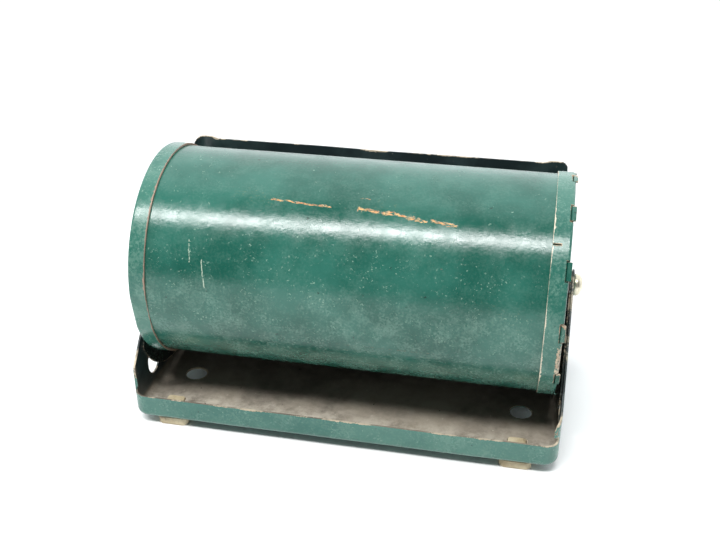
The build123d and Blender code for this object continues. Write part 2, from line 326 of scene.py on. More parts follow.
# Edge wear: rubbed away near an edge, deeper here and there, with a ragged border.
edge_wear, take, give = new_group(
    "edge_wear",
    [("Vector", "Vector", None), ("Edge", "Float", 1.0), ("Reach", "Float", 0.0006)],
    [("Mask", "Float")],
)
ragged = noise(edge_wear, take["Vector"], 700, 5, 0.7)
deeper = fade(edge_wear, noise(edge_wear, take["Vector"], 55, 3), 0.42, 0.72, 0.35, 2.2)
reach = calc(edge_wear, "MULTIPLY", take["Reach"], deeper)
bite = calc(edge_wear, "MULTIPLY", calc(edge_wear, "SUBTRACT", ragged, 0.5), 4.0)
line = calc(edge_wear, "ADD", calc(edge_wear, "DIVIDE", take["Edge"], reach), bite)
edge_wear.links.new(fade(edge_wear, line, 1.15, 0.75), give.inputs["Mask"])

# Specks: small ragged spots, one in some of the cells of a loose grid.
specks, take, give = new_group(
    "specks",
    [
        ("Vector", "Vector", None),
        ("Cells", "Float", 300.0),
        ("Size", "Float", 0.12),
        ("Share", "Float", 0.3),
    ],
    [("Mask", "Float")],
)
bent = node(
    specks,
    "VectorMath",
    {
        0: stretch(specks, node(
            specks, "TexNoise", {"Vector": take["Vector"], "Scale": 1400.0, "Detail": 2.0}
        ).outputs["Color"], (0.0024, 0.0024, 0.0024)),
        1: take["Vector"],
    },
    operation="ADD",
).outputs[0]
cells = node(specks, "TexVoronoi", {"Vector": bent, "Scale": take["Cells"]})
pick = node(specks, "SeparateColor", {0: cells.outputs["Color"]}).outputs
grown = calc(specks, "MULTIPLY", take["Size"], fade(specks, pick[1], 0.0, 1.0, 0.35, 1.3))
spot = calc(specks, "LESS_THAN", cells.outputs["Distance"], grown)
chosen = calc(specks, "LESS_THAN", pick[0], take["Share"])
specks.links.new(calc(specks, "MULTIPLY", spot, chosen), give.inputs["Mask"])

# Old enamel: deep green stove enamel with cloudy fading, chalky bloom (on the drum's lower front also a
# painted reflection of the table), pale and dark specks, and chips along the edges that show beige primer
# and, where they are deep, dull steel.
old_enamel, take, give = new_group(
    "old_enamel",
    [
        ("Vector", "Vector", None),
        ("Edge", "Float", 1.0),
        ("Reach", "Float", 0.0005),
        ("Paint", "Color", colour(12, 76, 63)),
        ("Faded", "Color", colour(40, 98, 85)),
        ("Bloom_and_sheen", "Color", colour(116, 150, 136)),
        ("Primer", "Color", colour(188, 174, 150)),
        ("Haze_and_sheen", "Float", 0.3),
        ("Speckle", "Float", 0.3),
        ("Pits", "Float", 0.08),
    ],
    [("Color", "Color"), ("Roughness", "Float"), ("Metallic", "Float"), ("Height", "Float")],
)
where = take["Vector"]
clouds = noise(old_enamel, where, 22, 5, 0.6)
coat = mix(old_enamel, fade(old_enamel, clouds, 0.36, 0.66), take["Paint"], take["Faded"])
patches = noise(old_enamel, where, 80, 8, 0.74, 0.3)
grain = noise(old_enamel, where, 900, 3, 0.6)
# Chalky bloom, and on the drum's lower front a painted reflection of the pale table as well.
bloom_and_sheen_share = calc(
    old_enamel,
    "ADD",
    patches,
    calc(old_enamel, "MULTIPLY", calc(old_enamel, "SUBTRACT", grain, 0.5), 0.7),
)
bloom_and_sheen_share = fade(old_enamel, bloom_and_sheen_share, 0.40, 0.72)
bloom_and_sheen_share = calc(old_enamel, "MULTIPLY", bloom_and_sheen_share, take["Haze_and_sheen"], clamp=True)
coat = mix(old_enamel, bloom_and_sheen_share, coat, take["Bloom_and_sheen"])
small = use(
    old_enamel,
    specks,
    {
        "Vector": where,
        "Cells": 640.0,
        "Size": 0.2,
        "Share": calc(old_enamel, "MULTIPLY", take["Speckle"], 0.9),
    },
)[0]
large = use(
    old_enamel,
    specks,
    {
        "Vector": where,
        "Cells": 260.0,
        "Size": 0.085,
        "Share": calc(old_enamel, "MULTIPLY", take["Speckle"], 0.7),
    },
)[0]
crowd = fade(old_enamel, noise(old_enamel, where, 60, 3), 0.38, 0.6)
pale = calc(old_enamel, "MULTIPLY", calc(old_enamel, "MAXIMUM", small, large), crowd)
coat = mix(old_enamel, calc(old_enamel, "MULTIPLY", pale, 0.62), coat, colour(150, 184, 164))
pits = use(old_enamel, specks, {"Vector": where, "Cells": 240.0, "Size": 0.12, "Share": take["Pits"]})[0]
coat = mix(old_enamel, calc(old_enamel, "MULTIPLY", pits, 0.8), coat, colour(20, 36, 32))
worn = use(old_enamel, edge_wear, {"Vector": where, "Edge": take["Edge"], "Reach": take["Reach"]})[0]
bare = use(
    old_enamel,
    edge_wear,
    {"Vector": where, "Edge": take["Edge"], "Reach": calc(old_enamel, "MULTIPLY", take["Reach"], 0.42)},
)[0]
primer = mix(
    old_enamel,
    fade(old_enamel, noise(old_enamel, where, 320, 4), 0.4, 0.7),
    take["Primer"],
    colour(146, 118, 90),
)
coat = mix(old_enamel, worn, coat, primer)
steel_bare = calc(old_enamel, "MULTIPLY", bare, fade(old_enamel, noise(old_enamel, where, 130, 3), 0.45, 0.6))
coat = mix(old_enamel, steel_bare, coat, colour(150, 142, 130))
old_enamel.links.new(coat, give.inputs["Color"])
shine = fade(old_enamel, noise(old_enamel, where, 120, 6, 0.65), 0.3, 0.75, 0.14, 0.28)
shine = calc(old_enamel, "ADD", shine, calc(old_enamel, "MULTIPLY", bloom_and_sheen_share, 0.25))
shine = calc(old_enamel, "ADD", shine, calc(old_enamel, "MULTIPLY", worn, 0.25), clamp=True)
old_enamel.links.new(shine, give.inputs["Roughness"])
old_enamel.links.new(calc(old_enamel, "MULTIPLY", steel_bare, 0.7), give.inputs["Metallic"])
skin = noise(old_enamel, where, 420, 4, 0.62)
height = calc(
    old_enamel,
    "ADD",
    calc(old_enamel, "MULTIPLY", skin, 0.30),
    calc(old_enamel, "MULTIPLY", patches, 0.5),
)
height = calc(old_enamel, "SUBTRACT", height, calc(old_enamel, "MULTIPLY", worn, 0.55))
height = calc(
    old_enamel,
    "SUBTRACT",
    height,
    calc(old_enamel, "MULTIPLY", calc(old_enamel, "MAXIMUM", pits, pale), 0.3),
)
old_enamel.links.new(height, give.inputs["Height"])


def new_finish(name):
    """A material with its shader; returns the material, its tree and the shader."""
    finish = bpy.data.materials.new(name)
    finish.use_nodes = True
    return finish, finish.node_tree, finish.node_tree.nodes["Principled BSDF"]


def feed(tree, shader, height=None, bump=0.0003, **sockets):
    """Links values into a shader, and a height into its normal; bump is the height's full depth in metres."""
    for label, value in sockets.items():
        tree.links.new(value, shader.inputs[label.replace("_", " ")])
    if height is not None:
        raised = node(tree, "Bump", {"Height": height, "Distance": bump, "Strength": 1.0})
        tree.links.new(raised.outputs[0], shader.inputs["Normal"])


cradle = copy_of("cradle", "cradle_body")
_, cradle_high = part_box("cradle")
dull_edges(cradle, 0.00025, cell=0.005, ripple=0.00022, seed=4)
count = len(cradle.data.polygons)
centres = np.empty(count * 3, np.float32)
facings = np.empty(count * 3, np.float32)
cradle.data.polygons.foreach_get("center", centres)
cradle.data.polygons.foreach_get("normal", facings)
centres = centres.reshape(-1, 3)
facings = facings.reshape(-1, 3)
corner_radius = 0.0075
core = np.array((cradle_high.x - corner_radius, cradle_high.y - corner_radius))
outward = centres[:, :2] - np.clip(centres[:, :2], -core, core)
outward /= np.maximum(np.linalg.norm(outward, axis=1), 1e-9)[:, None]
inside = facings[:, 2] - (facings[:, :2] * outward).sum(1) > 0
cradle.data.attributes.new("inside", "FLOAT", "FACE").data.foreach_set("value", inside.astype(np.float32))

cradle_enamel, tree, shader = new_finish("cradle_enamel")
where = node(tree, "TexCoord").outputs["Object"]
edge = node(tree, "Attribute", attribute_name="edge").outputs["Fac"]
outer = use(
    tree,
    old_enamel,
    {
        "Vector": where,
        "Edge": edge,
        "Reach": 0.0003,
        "Paint": colour(48, 100, 90),
        "Faded": colour(72, 118, 106),
        "Haze_and_sheen": 0.34,
        "Speckle": 0.12,
        "Pits": 0.4,
    },
)
oiled = mix(
    tree,
    fade(tree, noise(tree, where, 30, 6, 0.65), 0.35, 0.65),
    colour(96, 89, 79),
    colour(134, 125, 111),
)
x, y, z = node(tree, "SeparateXYZ", {0: where}).outputs
# Painted shade: the dust thins from the lip back under the drum, so the floor's colour there is partly dust
# and partly the drum's shadow painted in.
front = fade(
    tree,
    calc(tree, "ADD", y, calc(tree, "MULTIPLY", noise(tree, where, 40, 3), 0.016)),
    -0.022,
    -0.040,
)
flat = fade(tree, z, 0.011, 0.0068)
dust_and_light = calc(tree, "MULTIPLY", flat, fade(tree, noise(tree, where, 140, 7, 0.7), 0.25, 0.68))
dust_and_light = calc(tree, "MULTIPLY", dust_and_light, calc(tree, "ADD", calc(tree, "MULTIPLY", front, 0.8), 0.2))
within = mix(tree, dust_and_light, oiled, colour(196, 187, 172))
at_lip = fade(tree, y, -0.049, -0.053)
wall = calc(tree, "MULTIPLY", calc(tree, "SUBTRACT", 1.0, flat), calc(tree, "SUBTRACT", 1.0, at_lip))
wall_tone = mix(
    tree,
    fade(tree, noise(tree, where, 60, 5, 0.6), 0.4, 0.7),
    colour(20, 34, 36),
    colour(42, 58, 58),
)
within = mix(tree, wall, within, wall_tone)
grit = use(tree, specks, {"Vector": where, "Cells": 420.0, "Size": 0.14, "Share": 0.14})[0]
within = mix(tree, calc(tree, "MULTIPLY", grit, 0.7), within, colour(188, 180, 164))
crumbs = use(tree, specks, {"Vector": where, "Cells": 150.0, "Size": 0.09, "Share": 0.22})[0]
within = mix(tree, crumbs, within, colour(34, 26, 20))
worn_inside = use(tree, edge_wear, {"Vector": where, "Edge": edge, "Reach": 0.0004})[0]
within = mix(tree, worn_inside, within, colour(188, 176, 154))
inner = node(tree, "Attribute", attribute_name="inside").outputs["Fac"]
feed(
    tree,
    shader,
    height=outer["Height"],
    Base_Color=mix(tree, inner, outer["Color"], within),
    Roughness=fade(tree, inner, 0.0, 1.0, outer["Roughness"], fade(tree, wall, 0.0, 1.0, 0.62, 0.34)),
    Metallic=outer["Metallic"],
)
cradle.data.materials.append(cradle_enamel)
link_up("cradle_body", cradle, "frame", ["cradle"])


# Bearing plates. A second sheet spot-welded inside each side wall round the axle's hole, in the
# same enamel as the cradle's inside, nearly black where the drum has kept the light off it.
plate_enamel, tree, shader = new_finish("plate_enamel")
where = node(tree, "TexCoord").outputs["Object"]
edge = node(tree, "Attribute", attribute_name="edge").outputs["Fac"]
coat = use(
    tree,
    old_enamel,
    {
        "Vector": where,
        "Edge": edge,
        "Reach": 0.0003,
        "Paint": colour(22, 34, 32),
        "Faded": colour(36, 50, 46),
        "Bloom_and_sheen": colour(88, 92, 84),
        "Haze_and_sheen": 0.3,
        "Speckle": 0.15,
    },
)
feed(
    tree,
    shader,
    height=coat["Height"],
    Base_Color=coat["Color"],
    Roughness=coat["Roughness"],
    Metallic=coat["Metallic"],
)
for side in ("left", "right"):
    plate = copy_of(f"{side}_bearing_plate", f"{side}_plate")
    dull_edges(plate, 0.0002, cell=0.006, seed=2)
    plate.data.materials.append(plate_enamel)
    link_up(f"{side}_plate", plate, "frame", [f"{side}_bearing_plate"])


# Feet. Four moulded rubber pads, each pushed up through a slot in the floor so that its tab
# stands just above the sheet. The rubber has gone from white to cream, with grey grime.
foot_rubber, tree, shader = new_finish("foot_rubber")
where = node(tree, "TexCoord").outputs["Object"]
edge = node(tree, "Attribute", attribute_name="edge").outputs["Fac"]
cream = mix(
    tree,
    fade(tree, noise(tree, where, 90, 6, 0.65), 0.35, 0.65),
    colour(202, 190, 160),
    colour(164, 148, 116),
)
grime = calc(
    tree,
    "MAXIMUM",
    fade(tree, noise(tree, where, 260, 5, 0.7), 0.56, 0.72),
    use(tree, edge_wear, {"Vector": where, "Edge": edge, "Reach": 0.0005})[0],
)
cream = mix(tree, calc(tree, "MULTIPLY", grime, 0.6), cream, colour(92, 82, 64))
feed(
    tree,
    shader,
    height=noise(tree, where, 700, 4, 0.6),
    Base_Color=cream,
    Roughness=fade(tree, noise(tree, where, 200, 3), 0.3, 0.7, 0.5, 0.75),
)
for foot in ("front_left_foot", "front_right_foot", "rear_left_foot", "rear_right_foot"):
    pad = copy_of(foot, foot + "_pad")
    dull_edges(pad, 0.0003, cell=0.003, ripple=0.0001, seed=len(foot))
    pad.data.materials.append(foot_rubber)
    link_up(foot + "_pad", pad, "frame", [foot])


# Axle, washers and spacers. Bright drawn rod that has dulled, with light rust in its scratches.
old_steel, take, give = new_group(
    "old_steel",
    [
        ("Vector", "Vector", None),
        ("Bright", "Color", colour(150, 148, 142)),
        ("Dull", "Color", colour(96, 92, 86)),
        ("Stain", "Float", 0.5),
    ],
    [("Color", "Color"), ("Roughness", "Float"), ("Height", "Float")],
)
where = take["Vector"]
tone = mix(
    old_steel,
    fade(old_steel, noise(old_steel, where, 120, 6, 0.65), 0.35, 0.65),
    take["Bright"],
    take["Dull"],
)
rust = calc(
    old_steel,
    "MULTIPLY",
    fade(old_steel, noise(old_steel, where, 260, 6, 0.7), 0.58, 0.72),
    take["Stain"],
)
old_steel.links.new(mix(old_steel, rust, tone, colour(92, 60, 38)), give.inputs["Color"])
fine = noise(old_steel, stretch(old_steel, where, (6.0, 1.0, 1.0)), 500, 3, 0.6)
rub = fade(old_steel, fine, 0.3, 0.7, 0.28, 0.46)
old_steel.links.new(
    calc(old_steel, "ADD", rub, calc(old_steel, "MULTIPLY", rust, 0.35)),
    give.inputs["Roughness"],
)
old_steel.links.new(calc(old_steel, "ADD", fine, rust), give.inputs["Height"])


def metal_finish(name, bright, dull, stain, bump=0.00005):
    """A dulled bare metal."""
    finish, tree, shader = new_finish(name)
    place = node(tree, "TexCoord").outputs["Object"]
    coat = use(tree, old_steel, {"Vector": place, "Bright": bright, "Dull": dull, "Stain": stain})
    feed(
        tree,
        shader,
        height=coat["Height"],
        bump=bump,
        Base_Color=coat["Color"],
        Roughness=coat["Roughness"],
    )
    shader.inputs["Metallic"].default_value = 1.0
    return finish


def dress(node_name, finish):
    """Gives a frame part that is shown as it is its finish."""
    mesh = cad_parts[node_name].data
    mesh.materials.clear()
    mesh.materials.append(finish)


axle_steel = metal_finish("axle_steel", colour(176, 174, 168), colour(120, 116, 108), 0.5)
for part in ("axle", "left_thrust_washer", "right_spring_washer", "left_spacer", "right_spacer"):
    dress(part, axle_steel)


# Axle caps. Domed push-on caps, pressed from thin sheet and nickel-plated; one on each end of
# the axle, hard against the side wall. The plating has yellowed.
def blank_piece(name, points, faces, mend=False):
    """A piece made of points and faces, with doubles joined; mend turns its faces outwards."""
    mesh = bpy.data.meshes.new(name)
    mesh.from_pydata(points.tolist(), [], faces.tolist())
    work = bmesh.new()
    work.from_mesh(mesh)
    bmesh.ops.remove_doubles(work, verts=work.verts, dist=1e-6)
    if mend:
        bmesh.ops.recalc_face_normals(work, faces=work.faces)
    work.to_mesh(mesh)
    work.free()
    mesh.shade_smooth()
    piece = bpy.data.objects.new(name, mesh)
    bpy.context.scene.collection.objects.link(piece)
    return piece


def grid_faces(rows, columns, wrap=False, keep=None):
    """Corner numbers of the squares of a grid of rows by columns, which may close on itself."""
    row, column = np.meshgrid(
        np.arange(rows - 1), np.arange(columns if wrap else columns - 1), indexing="ij"
    )
    beside = (column + 1) % columns
    quads = np.stack(
        (
            row * columns + column,
            row * columns + beside,
            (row + 1) * columns + beside,
            (row + 1) * columns + column,
        ),
        axis=-1,
    )
    return quads[keep] if keep is not None else quads.reshape(-1, 4)


axle_z = (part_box("axle")[0].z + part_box("axle")[1].z) / 2


def turned(profile, angles):
    """A profile of (x, radius) carried round the axle: y = -radius cos a, z = axle + radius sin a."""
    profile = np.asarray(profile, float)
    x = np.repeat(profile[:, :1], len(angles), axis=1)
    y = -profile[:, 1:] * np.cos(angles)
    z = axle_z + profile[:, 1:] * np.sin(angles)
    return np.stack((x, y, z), axis=-1)


nickel = metal_finish("axle_cap_nickel", colour(238, 234, 214), colour(206, 200, 178), 0.42, 0.00003)
cap_low, cap_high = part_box("right_axle_cap")
cap_radius = (cap_high.z - cap_low.z) / 2
cap_rim = 0.0013
cap_dome = cap_high.x - cap_low.x - cap_rim
cap_wall = 0.0007
bead = 0.0003
round_up = np.linspace(0, pi / 2, 14)
cap_profile = np.concatenate(
    (
        [
            (0, cap_radius - cap_wall),
            (0, cap_radius - bead),
            (bead, cap_radius),
            (cap_rim - bead, cap_radius),
        ],
        np.stack((cap_rim + cap_dome * np.sin(round_up), cap_radius * np.cos(round_up) ** 0.8), axis=1),
    )
)
cap_profile[-1, 1] = 0
for side, hand in (("left", -1), ("right", 1)):
    around = np.linspace(0, 2 * pi, 64, endpoint=False)
    profile = cap_profile.copy()
    profile[:, 0] = hand * (cap_low.x + profile[:, 0])
    dome = turned(profile, around)
    squares = grid_faces(len(profile), len(around), wrap=True)
    cap = blank_piece(f"{side}_cap_dome", dome.reshape(-1, 3), squares, mend=True)
    cap.data.materials.append(nickel)
    link_up(f"{side}_cap_dome", cap, "frame", [f"{side}_axle_cap"])


# Drum shell. 0.8 mm sheet rolled into a tube, with a long opening at the back whose edges are
# hemmed inwards, and a ring of tabs on its right-hand end. It has small dents, a rusty scratch
# along its top, and a scuffed line low on its front.
_, shell_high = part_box("drum_shell")
cap_edge_low, cap_edge_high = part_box("right_end_cap")
drum_radius = (cap_edge_high.z - cap_edge_low.z) / 2
cap_sheet = 0.0011
shell_radius = drum_radius - cap_sheet - 0.0001
shell_sheet = 0.0008
shell_end = cap_edge_high.x - cap_sheet - 0.0001
skirt_edge = cap_edge_low.x
opening_start, opening_end = 124.0, 252.0
opening_half = skirt_edge - 0.0016
hem_half = opening_half - 0.001
hem_width = 0.004


def lines(fixed, apart):
    """Grid lines at all the fixed places, and between them no further apart than asked."""
    fixed = np.unique(fixed)
    return np.unique(
        np.concatenate(
            [
                np.linspace(a, b, max(2, int(np.ceil((b - a) / apart)) + 1))
                for a, b in zip(fixed[:-1], fixed[1:])
            ]
        ).round(9)
    )


def dent(x, angle):
    """How far the drum's sheet stands out or in: a few shallow dents, and slow waves, in metres."""
    draw = np.random.default_rng(11)
    depth = np.zeros(np.broadcast(x, angle).shape)
    for _ in range(26):
        at_x = draw.uniform(-0.085, 0.085)
        at_angle = draw.uniform(-180, 180)
        wide = draw.uniform(0.006, 0.02)
        deep = draw.uniform(-0.00016, 0.00008)
        turn = np.radians((angle - at_angle + 180) % 360 - 180) * shell_radius
        depth = depth + deep * np.exp(-((x - at_x) ** 2 + turn**2) / (2 * wide**2))
    fixed = np.clip((skirt_edge - np.abs(x)) / 0.012, 0, 1)
    return depth * fixed


x_lines = lines([-shell_end, -opening_half, -hem_half, 0, hem_half, opening_half, shell_end], 0.004)
angle_lines = lines([opening_end - 360, -60, 0, 60, opening_start], 2.5)
gap_lines = lines([opening_start, opening_end], 4.0)[1:-1]
all_angles = np.concatenate((angle_lines, gap_lines))
grid_x, grid_angle = np.meshgrid(x_lines, all_angles, indexing="ij")
radius = shell_radius + dent(grid_x, grid_angle)
shell_points = np.stack(
    (
        grid_x,
        -radius * np.cos(np.radians(grid_angle)),
        axle_z + radius * np.sin(np.radians(grid_angle)),
    ),
    axis=-1,
)
middle = (x_lines[:-1] + x_lines[1:]) / 2
next_angle = np.append(all_angles[1:], all_angles[0] + 360)
halfway = (all_angles + next_angle) / 2
closed = ~((np.abs(middle)[:, None] < opening_half) & (halfway[None, :] > opening_start))
shell_faces = grid_faces(len(x_lines), len(all_angles), wrap=True, keep=closed)

# each hem: half a turn of sheet round the opening's edge, then flat along the inside
parts = [(shell_points.reshape(-1, 3), shell_faces[:, ::-1])]
curl = np.linspace(0, pi, 7)
hem_x = x_lines[np.abs(x_lines) <= hem_half + 1e-9]
for edge_angle, way in ((opening_start, 1), (opening_end, -1)):
    along = way * np.concatenate((np.sin(curl) * shell_sheet, -np.linspace(0, hem_width, 5)[1:]))
    inward = np.concatenate(((1 - np.cos(curl)) * shell_sheet, np.full(4, 2 * shell_sheet)))
    hem_x_grid, hem_along = np.meshgrid(hem_x, along, indexing="ij")
    hem_radius = shell_radius + dent(hem_x_grid, np.full_like(hem_x_grid, edge_angle)) - inward
    hem_angle = radians(edge_angle) + hem_along / shell_radius
    hem_points = np.stack(
        (hem_x_grid, -hem_radius * np.cos(hem_angle), axle_z + hem_radius * np.sin(hem_angle)), axis=-1
    )
    quads = grid_faces(len(hem_x), len(along))
    parts.append((hem_points.reshape(-1, 3), quads[:, ::-1] if way > 0 else quads))

# each tab: steps out of the shell's end, through the cap's slot, and stands just proud of it
tab_count = 12
tab_first = 4.1
tab_width = 0.0084
tab_angles = tab_first + 360 / tab_count * np.arange(tab_count)
tab_radius = drum_radius - 0.0001
tab_path = np.array(
    (
        (shell_end - 0.0004, shell_radius),
        (shell_end - 0.0002, shell_radius + 0.0002),
        (shell_end, tab_radius - 0.0003),
        (shell_end + 0.0003, tab_radius),
        (shell_high.x - 0.0003, tab_radius),
        (shell_high.x, tab_radius - 0.0001),
    )
)
for angle in tab_angles:
    across_tab = np.radians(angle) + np.linspace(-0.5, 0.5, 5) * tab_width / shell_radius
    parts.append((turned(tab_path, across_tab).reshape(-1, 3), grid_faces(len(tab_path), 5)[:, ::-1]))

starts = np.cumsum([0] + [len(points) for points, _ in parts[:-1]])
shell = blank_piece(
    "drum_tube",
    np.concatenate([points for points, _ in parts]),
    np.concatenate([faces + start for (_, faces), start in zip(parts, starts)]),
)


def thicken(piece, sheet):
    """Gives a piece the thickness of its sheet, inwards."""
    wall = piece.modifiers.new("sheet", "SOLIDIFY")
    wall.thickness = sheet
    wall.offset = -1
    wall.use_even_offset = True
    return piece


thicken(shell, shell_sheet * 0.97)
dull_edges(shell, 0.00012, turn=60)

# Unrolled place: along the drum, round it from the front over the top, and out from the axle.
unrolled, take, give = new_group("unrolled", [("Vector", "Vector", None)], [("Vector", "Vector")])
x, y, z = node(unrolled, "SeparateXYZ", {0: take["Vector"]}).outputs
rise = calc(unrolled, "SUBTRACT", z, axle_z)
turn = calc(unrolled, "ARCTAN2", rise, calc(unrolled, "MULTIPLY", y, -1.0))
out = calc(
    unrolled,
    "SQRT",
    calc(unrolled, "ADD", calc(unrolled, "MULTIPLY", y, y), calc(unrolled, "MULTIPLY", rise, rise)),
)
round_drum = calc(unrolled, "MULTIPLY", turn, shell_radius)
unrolled.links.new(
    node(unrolled, "CombineXYZ", {0: x, 1: round_drum, 2: out}).outputs[0],
    give.inputs["Vector"],
)

# Scratch: a straight mark between two unrolled places, which wanders and breaks up.
scratch, take, give = new_group(
    "scratch",
    [
        ("Vector", "Vector", None),
        ("Start", "Vector", (0, 0, 0)),
        ("End", "Vector", (0, 0, 0)),
        ("Width", "Float", 0.0005),
        ("Broken", "Float", 0.5),
    ],
    [("Mask", "Float")],
)
place = take["Vector"]
wander = node(
    scratch,
    "TexNoise",
    {"Vector": place, "Scale": 260.0, "Detail": 5.0, "Roughness": 0.7},
).outputs["Color"]
wander = node(scratch, "VectorMath", {0: wander, 1: (0.5, 0.5, 0.5)}, operation="SUBTRACT").outputs[0]
wander = node(scratch, "VectorMath", {0: wander, 1: take["Width"]}, operation="MULTIPLY").outputs[0]
wander = stretch(scratch, wander, (3.0, 3.0, 0.0))
place = node(
    scratch,
    "VectorMath",
    {0: stretch(scratch, place, (1, 1, 0)), 1: wander},
    operation="ADD",
).outputs[0]
from_start = node(scratch, "VectorMath", {0: place, 1: take["Start"]}, operation="SUBTRACT").outputs[0]
whole = node(scratch, "VectorMath", {0: take["End"], 1: take["Start"]}, operation="SUBTRACT").outputs[0]
share = calc(
    scratch,
    "DIVIDE",
    node(scratch, "VectorMath", {0: from_start, 1: whole}, operation="DOT_PRODUCT").outputs["Value"],
    node(scratch, "VectorMath", {0: whole, 1: whole}, operation="DOT_PRODUCT").outputs["Value"],
    clamp=True,
)
foot_point = node(scratch, "VectorMath", {0: whole, "Scale": share}, operation="SCALE").outputs[0]
off_line = node(scratch, "VectorMath", {0: from_start, 1: foot_point}, operation="DISTANCE").outputs["Value"]
half = calc(scratch, "MULTIPLY", take["Width"], 0.5)
body = fade(scratch, off_line, calc(scratch, "MULTIPLY", half, 1.25), calc(scratch, "MULTIPLY", half, 0.6))
crumble = noise(scratch, stretch(scratch, take["Vector"], (0.6, 1.4, 1.0)), 800, 4, 0.7)
kept = fade(
    scratch,
    calc(scratch, "ADD", crumble, calc(scratch, "MULTIPLY", take["Broken"], -0.3)),
    0.28,
    0.42,
)
scratch.links.new(calc(scratch, "MULTIPLY", body, kept), give.inputs["Mask"])


def mark_at(x, angle):
    """A place on the unrolled drum: millimetres from its middle, degrees up from its front."""
    return (x / 1000, radians(angle) * shell_radius, 0)


def scratched(tree, place, marks):
    """The marks of one colour, as one mask: (from x, from angle, to x, to angle, width in mm, how broken)."""
    mask = 0.0
    for x0, angle0, x1, angle1, wide, broken in marks:
        feeds = {
            "Vector": place,
            "Start": mark_at(x0, angle0),
            "End": mark_at(x1, angle1),
            "Width": wide / 1000,
            "Broken": broken,
        }
        mask = calc(tree, "MAXIMUM", mask, use(tree, scratch, feeds)[0])
    return mask


drum_enamel, tree, shader = new_finish("drum_enamel")
where = node(tree, "TexCoord").outputs["Object"]
edge = node(tree, "Attribute", attribute_name="edge").outputs["Fac"]
place = use(tree, unrolled, {"Vector": where})[0]
along, round_it, out = node(tree, "SeparateXYZ", {0: place}).outputs
round_with_noise = calc(
    tree,
    "ADD",
    round_it,
    calc(tree, "MULTIPLY", calc(tree, "SUBTRACT", noise(tree, where, 30, 4), 0.5), 0.02),
)
# Painted reflection: the lower front gets more pale haze, partly dusty bloom and partly the white table's
# reflection painted into the colour.
low_front_haze_and_reflection = fade(tree, round_with_noise, radians(20) * shell_radius, radians(-4) * shell_radius, 0.12, 0.42)
coat = use(
    tree,
    old_enamel,
    {
        "Vector": where,
        "Edge": edge,
        "Reach": 0.0002,
        "Haze_and_sheen": low_front_haze_and_reflection,
        "Speckle": fade(tree, round_with_noise, radians(50) * shell_radius, radians(25) * shell_radius, 0.12, 0.85),
        "Pits": 0.10,
    },
)
shade = coat["Color"]
smudge = scratched(
    tree,
    place,
    [(-52, 61, -38, 57, 9, 0.9), (14, 58, 30, 56, 7, 0.9), (66, 14, 84, 8, 10, 1.0)],
)
shade = mix(tree, calc(tree, "MULTIPLY", smudge, 0.22), shade, colour(150, 140, 96))
rusty = scratched(
    tree,
    place,
    [
        (-37, 58.1, -8, 56.4, 0.9, 0.45),
        (-9, 56.4, 6, 56.1, 0.35, 1.0),
        (5, 56.2, 22, 55.6, 1.7, 0.5),
        (20, 55.6, 37, 52.8, 1.6, 0.5),
        (40, 53.5, 51, 51.6, 1.5, 0.5),
        (5, 63, 9, 63, 1.6, 0.9),
    ],
)
shade = mix(
    tree,
    rusty,
    shade,
    mix(
        tree,
        fade(tree, noise(tree, where, 500, 3), 0.4, 0.65),
        colour(206, 160, 100),
        colour(186, 120, 66),
    ),
)
brown = scratched(
    tree,
    place,
    [
        (-5, -17.7, 49, -17.4, 0.5, 0.7),
        (43, 31, 46, 29, 2.6, 0.9),
        (44, 21, 47, 16, 3.2, 1.1),
        (-40, -17, -20, -17.5, 0.4, 1.1),
    ],
)
shade = mix(tree, calc(tree, "MULTIPLY", brown, 0.75), shade, colour(92, 66, 44))
sandy = scratched(tree, place, [(0, -21.5, 46, -21.0, 4.0, 1.0)])
shade = mix(tree, calc(tree, "MULTIPLY", sandy, 0.5), shade, colour(150, 146, 104))
pale_line = scratched(
    tree,
    place,
    [
        (-73.4, 32.3, -72.4, 21.3, 0.5, 0.5),
        (-66.6, 22.9, -64.8, 8.6, 0.5, 0.3),
        (-87, 15, -81, 12, 3.4, 1.35),
        (-70, -9, -62, -13, 2.6, 1.4),
        (88, 21, 94, 18, 1.6, 1.3),
        (92, 5, 95, -9, 1.8, 1.4),
    ],
)
shade = mix(tree, calc(tree, "MULTIPLY", pale_line, 0.75), shade, colour(186, 200, 180))
marked = calc(tree, "MAXIMUM", rusty, calc(tree, "MULTIPLY", brown, 0.6))
feed(
    tree,
    shader,
    height=calc(tree, "SUBTRACT", coat["Height"], calc(tree, "MULTIPLY", marked, 0.3)),
    bump=0.00022,
    Base_Color=shade,
    Roughness=calc(tree, "ADD", coat["Roughness"], calc(tree, "MULTIPLY", marked, 0.3), clamp=True),
    Metallic=coat["Metallic"],
)
shell.data.materials.append(drum_enamel)
link_up("drum_tube", shell, "drum", ["drum_shell"])


